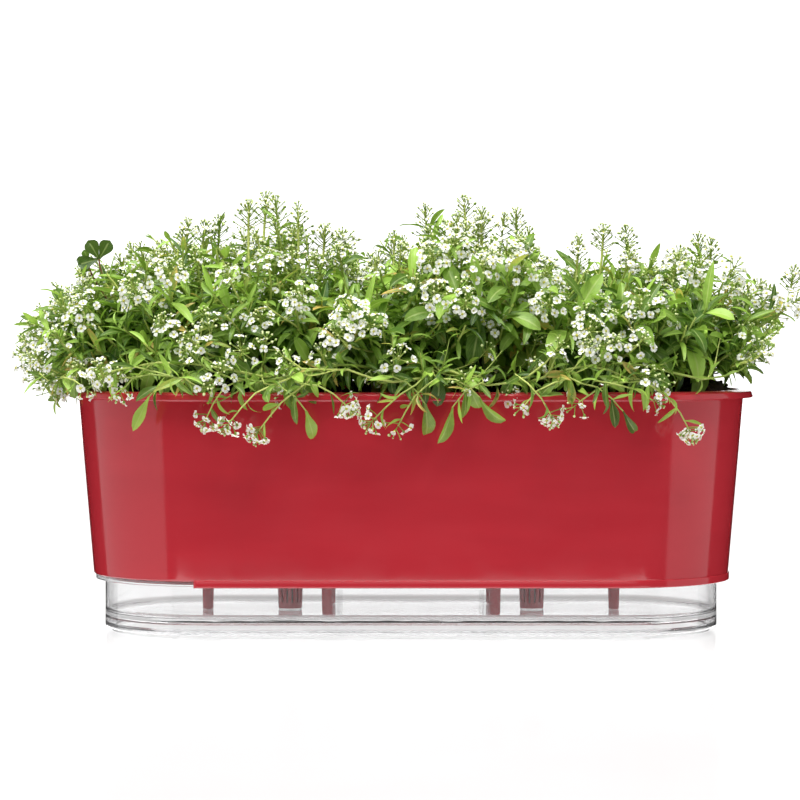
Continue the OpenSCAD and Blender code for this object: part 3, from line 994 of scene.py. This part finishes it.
def mound_spot(x, turn):
    """A place on the outside of the flowers: turn runs from -90 at the front edge to 90 at the back."""
    a = math.radians(turn)
    rise = (height_at(SKYLINE, x) - 2 * MM - MOUND_BASE) * max(math.cos(a), 0.0) ** ROUNDNESS
    lowest = height_at(LOW_EDGE, x) + 4 * MM
    return np.array([x, mound_depth(x) * math.sin(a), max(MOUND_BASE + rise, lowest)])


def hold_inside(p):
    """The point, moved no further out than the outside of the flowers."""
    x = float(np.clip(p[0], -MOUND_X, MOUND_X))
    deep = mound_depth(x) + 6 * MM
    return np.array([x, np.clip(p[1], -deep, deep), min(p[2], height_at(SKYLINE, x))])


def flower_head(rng, tall):
    """Numbers for one flower head: an old tall one has pods, a young one is a flat cluster."""
    if tall:
        return dict(height=rng.uniform(14, 30) * MM, spread=rng.uniform(6, 8.5) * MM,
                    open_count=int(rng.integers(2, 8)), bud_count=int(rng.integers(9, 15)),
                    pods=int(rng.integers(8, 16)), lean_low=1.2, bloom=0.85)
    return dict(height=rng.uniform(6, 11) * MM, spread=rng.uniform(7, 10.5) * MM,
                open_count=int(rng.integers(5, 11)), bud_count=int(rng.integers(7, 12)))


plan_rng = np.random.default_rng(42)
plants = {i: Plant(1000 + i, i) for i in PLANTS}


def nearest(group, x):
    """The plant of a group whose root ball is nearest to x."""
    return group[1 + int(np.argmin([abs(x - p) for p in PLANT_X]))]


def plant_near(x, spread):
    """A plant that could have a stem at x."""
    return nearest(plants, x + plan_rng.normal(0, spread))


def scatter(places, turns, dense, sparse, stray, swing):
    """Random spots on the mound, as a place along X and a turn; dense and sparse are their chances."""
    for x in places:
        for turn in turns:
            if plan_rng.random() < (dense if x < SPARSE_X else sparse):
                yield x + plan_rng.normal(0, stray), turn + plan_rng.normal(0, swing)


def grow(x, turn, inward, head, twigs, lean, **leaves):
    """One stem to a place on or under the outside of the flowers."""
    plant = plant_near(x, 26 * MM)
    x = float(np.clip(x, -MOUND_X, MOUND_X))
    tip = mound_spot(x, turn)
    tip = tip + (plant.middle * (0.4, 1, 1) + tip * (0.6, 0, 0) - tip) * inward
    middle = np.array([x * 0.55, 0.0, ROOT_TOP - 20 * MM])
    axis = unit(unit(tip - middle) * 0.8 + UP * 0.6 + plan_rng.normal(0, lean, 3))
    plant.shoot(tip, axis, plan_rng.uniform(0.75, 1.15) * MM, head, twigs, **leaves)


# Tall heads along the top
for x, turn in scatter(np.arange(-MOUND_X, MOUND_X + 1e-6, 17 * MM), (-30, -17, -5, 8, 24),
                       0.85, 0.45, 4.5 * MM, 4):
    grow(x, turn, abs(plan_rng.normal(0, 0.12)), flower_head(plan_rng, plan_rng.random() < 0.75),
         int(plan_rng.integers(0, 3)), 0.16, long=24 * MM, short=12 * MM)

# The heads that stand out above the rest, in millimetres: (place along X, height)
PEAKS = [
    (-137, 251), (-128, 250), (-119, 254), (-99, 262), (-90, 268), (-83, 264), (-69, 260), (-53, 247),
    (-43, 245), (9, 260), (33, 266), (43, 257), (65, 258), (67, 243), (102, 241), (118, 247), (133, 247),
    (178, 242), (185, 239), (236, 222)]
for x, z in PEAKS:
    tip = np.array([x, plan_rng.uniform(-30, 15), z]) * MM
    axis = unit(UP + plan_rng.normal(0, 0.12, 3))
    plant = plant_near(x * MM, 20 * MM)
    head = dict(height=plan_rng.uniform(13, 22) * MM, spread=plan_rng.uniform(7.5, 9.5) * MM, pods=11,
                lean_low=1.1, open_count=int(plan_rng.integers(4, 10)), bud_count=13, bloom=0.85)
    plant.shoot(tip, axis, 1.15 * MM, head, 2)

# Flat heads down the front and the back
for x, turn in scatter(np.arange(-MOUND_X + 6 * MM, MOUND_X, 21 * MM), (-76, -60, -44, 40, 54, 68),
                       0.26, 0.16, 7 * MM, 6):
    grow(x, turn, plan_rng.uniform(0.0, 0.2), flower_head(plan_rng, False),
         int(plan_rng.integers(0, 3)), 0.2)

# Leafy stems that fill the mound
for x, turn in scatter(np.arange(-MOUND_X + 14 * MM, MOUND_X - 10 * MM, 15 * MM),
                       (-70, -60, -50, -38, -26, -12, 4, 18, 32, 46, 60, 72, 84),
                       0.88, 0.62, 7 * MM, 6):
    grow(x, turn, plan_rng.uniform(0.02, 0.42), None, int(plan_rng.random() < 0.3), 0.32,
         long=31 * MM, short=17 * MM, spacing=5.2 * MM, broad_until=0.6)

# Stems with broad leaves only, low at the front from the middle to the right
for x in np.arange(-40 * MM, 190 * MM, 13 * MM):
    grow(x + plan_rng.normal(0, 4 * MM), -66 + plan_rng.normal(0, 8), plan_rng.uniform(0, 0.15),
         None, 0, 0.3, long=33 * MM, short=24 * MM, spacing=5 * MM, broad_until=1.0)

# The biggest flower clusters at the front, in millimetres: (place along X, height, open flowers)
FRONT_HEADS = [
    (-224, 170, 9), (-211, 184, 9), (-197, 204, 9), (-184, 164, 8), (-165, 214, 9), (-144, 224, 8),
    (-130, 182, 8), (-111, 163, 7), (-100, 176, 5), (-65, 210, 6), (-36, 198, 18), (-44, 186, 13),
    (-24, 191, 10), (-8, 172, 6), (15, 211, 11), (32, 204, 10), (41, 226, 12), (12, 232, 12),
    (26, 240, 10), (56, 236, 10), (66, 226, 9), (80, 222, 9), (80, 203, 10), (105, 187, 15),
    (114, 178, 9), (136, 182, 8), (134, 204, 9), (170, 226, 10), (196, 226, 8), (236, 206, 9)]
for x, z, flowers in FRONT_HEADS:
    x, z = x * MM, z * MM
    plant = plant_near(x, 20 * MM)
    share = min(max((z - MOUND_BASE) / (height_at(SKYLINE, x) - MOUND_BASE), 0.02), 1.0)
    tip = mound_spot(x, -math.degrees(math.acos(share ** (1 / ROUNDNESS)))) - (0, 5 * MM, 0)
    axis = unit(unit(tip - plant.middle) * LEVEL + (0, -0.5, 0.7) + plan_rng.normal(0, 0.15, 3))
    head = dict(height=8 * MM, spread=(7 + 0.28 * flowers) * MM, open_count=flowers, bud_count=9)
    plant.shoot(tip, axis, 0.9 * MM, head, 1)

for i in PLANTS:
    plants[i].rosette(80)
    plants[i].finish(f"alyssum_{i}", f"alyssum_{i}")

# ---- stems that hang over the rim ----

# Where each hanging stem ends, in millimetres: place along X, height, how many flowers it has, and how
# far along the rim it runs before it hangs
FRONT_TRAILERS = [
    (-184, 158, 9, 60), (-171, 150, 6, 30), (-155, 147, 0, 25), (-121, 134, 8, 20), (-107, 132, 10, 35),
    (-90, 127, 12, 30), (-62, 139, 0, -25), (-38, 142, 13, -30), (-22, 134, 9, 30), (-8, 130, 4, 25),
    (8, 143, 0, -20), (24, 141, 0, 20), (40, 147, 0, -25), (66, 142, 3, 25), (82, 136, 10, -20),
    (98, 144, 3, 40), (124, 139, 0, -30), (142, 145, 7, -35), (164, 127, 12, -30)]
BACK_TRAILERS = [
    (-150, 135, 10, 30), (-112, 124, 8, -25), (-86, 132, 0, 30), (-52, 128, 6, 35), (-24, 121, 11, -30),
    (4, 133, 7, 25), (34, 126, 9, -35), (70, 126, 0, 20), (92, 132, 8, -30), (118, 122, 12, 30),
    (155, 130, 8, -40)]
END_TRAILERS = [(-1, -50, 152, 5), (-1, -20, 158, 4), (-1, 14, 152, 5), (-1, 48, 136, 8), (1, 66, 138, 7)]
# Long pale stems that run low along the front: where each starts and ends along X, and its height there
FRONT_RUNNERS = [
    (-50, -190, 160), (-8, -118, 158), (30, -62, 157), (52, 128, 158), (8, 74, 155), (96, 200, 159)]


def outline_y(x, r):
    """How far to the back the outline at distance r from the centre line is, at x."""
    return math.sqrt(max(r ** 2 - max(abs(x) - HALF_STRAIGHT, 0.0) ** 2, 0.0))


def trail(plant, tip, outward, flowers, run):
    """A stem that crosses the rim, runs along it and hangs, with leaves and a nodding flower head."""
    rng = plant.rng
    along = np.array([-outward[1], outward[0], 0.0])
    if abs(outward[1]) > 0.3 and along[0] < 0:
        along = -along
    rim = tip - outward * rng.uniform(2, 7) * MM + along * run * MM
    rim[2] = RIM_Z + rng.uniform(5, 11) * MM
    half = tip * 0.55 + rim * 0.45 + outward * 4 * MM + UP * rng.uniform(2, 7) * MM
    base = plant.crown(rim)
    lift = (base + rim) / 2 + UP * rng.uniform(2, 12) * MM
    points = path_through([base, lift, rim, half, tip])
    plant.paths.append((points, 0.9 * MM, 0.42 * MM))
    plant.leafy(points, 0.2, 0.97, 7.5 * MM, 24 * MM, 13 * MM, broad_until=0.6)
    axis = unit(unit(points[-1] - points[-2]) + outward * 0.4 + rng.normal(0, 0.2, 3))
    if flowers:
        plant.raceme(tip + axis * 4 * MM, axis, height=7 * MM, spread=rng.uniform(7, 9.5) * MM,
                     open_count=flowers, bud_count=max(4, flowers // 2))
    else:
        plant.leaf(points[-1], unit(axis - UP * 0.8), outward, rng.uniform(20, 25) * MM, True)
        plant.leaf(points[-2], unit(around(axis, 0.7, rng.random() * 6)), outward, 18 * MM, True)
    if rng.random() < 0.7:
        plant.twig(points, rng.uniform(0.45, 0.7), 0.5 * MM)


def run_low(plant, start, end, height):
    """A long arching stem that lies along the front rim and turns up to its flowers."""
    rng = plant.rng
    base = plant.crown(np.array([start, -60 * MM, ROOT_TOP]))
    stops = [base]
    for share in (0.25, 0.5, 0.75, 1.0):
        x = start + (end - start) * share
        y = -outline_y(x, RIM_R + 5 * MM) * (0.86 + 0.18 * share)
        stops.append(np.array([x, y, height + (5 * math.sin(7 * share + 60 * start) + 3) * MM]))
    stops.append(stops[-1] + unit(stops[-1] - stops[-2]) * 14 * MM + UP * 9 * MM)
    points = path_through(stops)
    plant.paths.append((points, 1.05 * MM, 0.5 * MM))
    plant.leafy(points, 0.25, 0.97, 5 * MM, 21 * MM, 11 * MM, broad_until=0.35)
    plant.raceme(stops[-1], unit(points[-1] - points[-2] + UP * 0.01), height=9 * MM, spread=8 * MM,
                 open_count=int(rng.integers(5, 10)), bud_count=8)
    for s in (0.4, 0.6, 0.8):
        plant.twig(points, s, 0.55 * MM)


hanging = {i: Plant(2000 + i, i) for i in PLANTS}

for side, trailers in ((-1, FRONT_TRAILERS), (1, BACK_TRAILERS)):
    for x, z, flowers, run in trailers:
        plant = nearest(hanging, (x + 0.6 * run) * MM)
        x, z = x * MM, z * MM
        y = side * outline_y(x, RIM_R + plant.rng.uniform(6, 14) * MM)
        flat = unit(np.array([x - np.clip(x, -HALF_STRAIGHT, HALF_STRAIGHT), y, 0.0]))
        trail(plant, np.array([x, y, z]), flat, flowers, run)
for end, turn, z, flowers in END_TRAILERS:
    plant = hanging[1 if end < 0 else 5]
    a = math.radians(turn)
    flat = np.array([end * math.cos(a), math.sin(a), 0.0])
    tip = flat * (RIM_R + plant.rng.uniform(8, 22) * MM) + (end * HALF_STRAIGHT, 0, z * MM)
    trail(plant, tip, flat, flowers, plant.rng.uniform(-25, 25))
for start, end, height in FRONT_RUNNERS:
    run_low(nearest(hanging, start * MM), start * MM, end * MM, height * MM)
for i in PLANTS:
    hanging[i].finish(f"trailing_{i}", f"trailing_stems_{i}")

# ---- clover ----


def clover():
    """A small clover: reddish stalks, each with three notched leaflets."""
    leaflet = leaf_shape(0.43, 0.35, 0.16, stalk=0.12, peak=0.85, tip=5.0, wave=0.02, notch=0.16)
    batch = Batch()
    low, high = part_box("clover_weed")
    root = np.array([PLANT_X[0] - 8 * MM, -10 * MM, ROOT_TOP - 2 * MM])
    middle = np.array([(low.x + high.x) / 2, (low.y + high.y) / 2, low.z + 9 * MM])
    for shift, turns, size in (((3, -7, -2), (1.05, 2.05, 3.35), 13.5),
                               ((-4, -2, -3), (1.9, 3.0, 4.3), 7.5)):
        joint = middle + np.array(shift) * MM
        points = curve(root, root + UP * 35 * MM, joint - np.array([0, 4, 16]) * MM, joint)
        batch.tubes(points[None], np.full((1, STEM_ROWS), 0.55 * MM), PLAIN, 7, slot=1)
        for turn in turns:
            way = np.array([math.cos(turn), -0.25, math.sin(turn)])
            axes = frame_about(way[None], np.array([[0.1, -1.0, 0.35]])) * size * MM
            batch.copies(leaflet, joint[None], axes, np.array([[turn % 1, 0.3, 0.5]]))
    return batch.build("clover_weed_plant", [CLOVER, RED_STEM])


place(clover(), "clover_weed")

# ---- studio ----

CAMERA = Vector((-6.8 * MM, -1.86, 0.200))
PITCH = math.radians(1.776)
FOCAL_MM = 135.0
SENSOR_MM = 36.0
WHITE = (1, 1, 1, 1)
BLACK = (0, 0, 0, 1)
FLOOR_GLOW = 0.50
WORLD_COLOUR = (0.97, 0.98, 1.0, 1)
WORLD_GLOW = 0.12
# Boards that show only in reflections: name, two opposite corners, brightness
BOARDS = [
    ("left_board", (-1.0, -1.03, -0.8), (-1.0, 0.44, 0.8), 0.85),
    ("right_board", (1.0, -0.70, -0.8), (1.0, 0.20, 0.8), 0.85),
    ("under_board", (-0.26, -0.28, -0.02), (0.26, 0.12, -0.02), 3.0),
    ("low_board", (-1.2, -2.6, 0.0), (1.2, -2.6, 0.3), 1.2)]
# Lamps: name, place, what it faces, width, height, power, and whether it shows in reflections
LAMPS = [
    ("top_box", (-0.15, -0.42, 1.25), (0, 0, 0.1), 1.2, 0.7, 29, True),
    ("front_box", (-0.7, -1.5, 1.1), (0, 0, 0.15), 1.0, 0.7, 3.5, False),
    ("left_box", (-1.15, -0.15, 0.55), (0, 0, 0.12), 1.5, 1.0, 4, False),
    ("right_box", (1.15, -0.05, 0.55), (0, 0, 0.12), 1.3, 1.0, 4, False)]
# A room round everything, seen by the camera and through the clear plastic
TENT_GLOW = 0.75
TENT_LOW = (-6, -6, -0.02)
TENT_HIGH = (6, 6, 6)


def rectangle(low, high):
    """The corners of a flat rectangle, from two opposite ones that share one coordinate."""
    right, left = list(low), list(high)
    first = [a != b for a, b in zip(low, high)].index(True)
    right[first], left[first] = high[first], low[first]
    return [low, right, high, left]


def flat_sheet(name, corners, material, faces=((0, 1, 2, 3),)):
    """Flat faces on numbered corners, for the studio."""
    mesh = bpy.data.meshes.new(name)
    mesh.from_pydata(corners, [], faces)
    mesh.materials.append(material)
    made = add_object(name, mesh)
    return made


def studio_floor():
    """A pale floor, lit a little from within, which reflections leave out."""
    p = Paint("studio_floor", Roughness=0.2, IOR=1.1, Emission_Color=WHITE, Emission_Strength=FLOOR_GLOW)
    p.colour(p.mix(p.band(p.noise(3.0), 0.3, 0.7), (0.33, 0.33, 0.33, 1), (0.35, 0.35, 0.35, 1)))
    made = flat_sheet("studio_floor", rectangle((-3.0, -0.8, 0.0), (3.0, 3.0, 0.0)), p.material)
    made.visible_glossy = False


def board(name, corners, brightness, *shows_in, **faces):
    """A white board, or several, that only the kinds of rays in shows_in can see."""
    p = Paint(name, Roughness=1.0, Base_Color=BLACK, Emission_Color=WHITE, Emission_Strength=brightness)
    p.material.cycles.emission_sampling = "NONE"
    made = flat_sheet(name, corners, p.material, **faces)
    for kind in ("camera", "diffuse", "glossy", "transmission", "volume_scatter", "shadow"):
        setattr(made, f"visible_{kind}", kind in shows_in)


def softbox(name, spot, target, width, height, power, reflected):
    """A rectangular lamp that faces its target."""
    light = bpy.data.lights.new(name, "AREA")
    light.shape, light.size, light.size_y = "RECTANGLE", width, height
    light.energy = power
    made = add_object(name, light)
    made.location = spot
    made.rotation_mode = "QUATERNION"
    made.rotation_quaternion = (Vector(target) - Vector(spot)).to_track_quat("-Z", "Y")
    made.visible_glossy = reflected


def studio():
    """Floor, backdrop, lamps, boards and the dim light from all round."""
    studio_floor()
    white = Paint("backdrop", Roughness=1.0, Emission_Color=WHITE, Emission_Strength=1.0)
    flat_sheet("backdrop", rectangle((-0.72, 2.6, -0.001), (0.72, 2.6, 2.2)), white.material)
    for lamp in LAMPS:
        softbox(*lamp)
    for name, low, high, brightness in BOARDS:
        board(name, rectangle(low, high), brightness, "glossy")
    (left, front, low), (right, back, high) = TENT_LOW, TENT_HIGH
    corners = [(x, y, z) for z in (low, high)
               for x, y in ((left, front), (right, front), (right, back), (left, back))]
    sides = ((0, 1, 2, 3), (4, 5, 6, 7), (0, 1, 5, 4), (1, 2, 6, 5), (2, 3, 7, 6), (3, 0, 4, 7))
    board("tent", corners, TENT_GLOW, "camera", "transmission", faces=sides)
    world = bpy.data.worlds.new("studio")
    world.use_nodes = True
    background = world.node_tree.nodes["Background"]
    background.inputs["Color"].default_value = WORLD_COLOUR
    background.inputs["Strength"].default_value = WORLD_GLOW
    world.cycles_visibility.glossy = False
    bpy.context.scene.world = world
    bpy.context.scene.view_settings.view_transform = "Standard"


def aim_camera():
    """A long lens straight in front, looking a little down."""
    lens = bpy.data.cameras.new("camera")
    lens.lens, lens.sensor_width = FOCAL_MM, SENSOR_MM
    lens.clip_start, lens.clip_end = 0.05, 20.0
    camera = add_object("camera", lens)
    camera.location = CAMERA
    camera.rotation_euler = (math.pi / 2 - PITCH, 0, 0)
    bpy.context.scene.camera = camera


aim_camera()
studio()
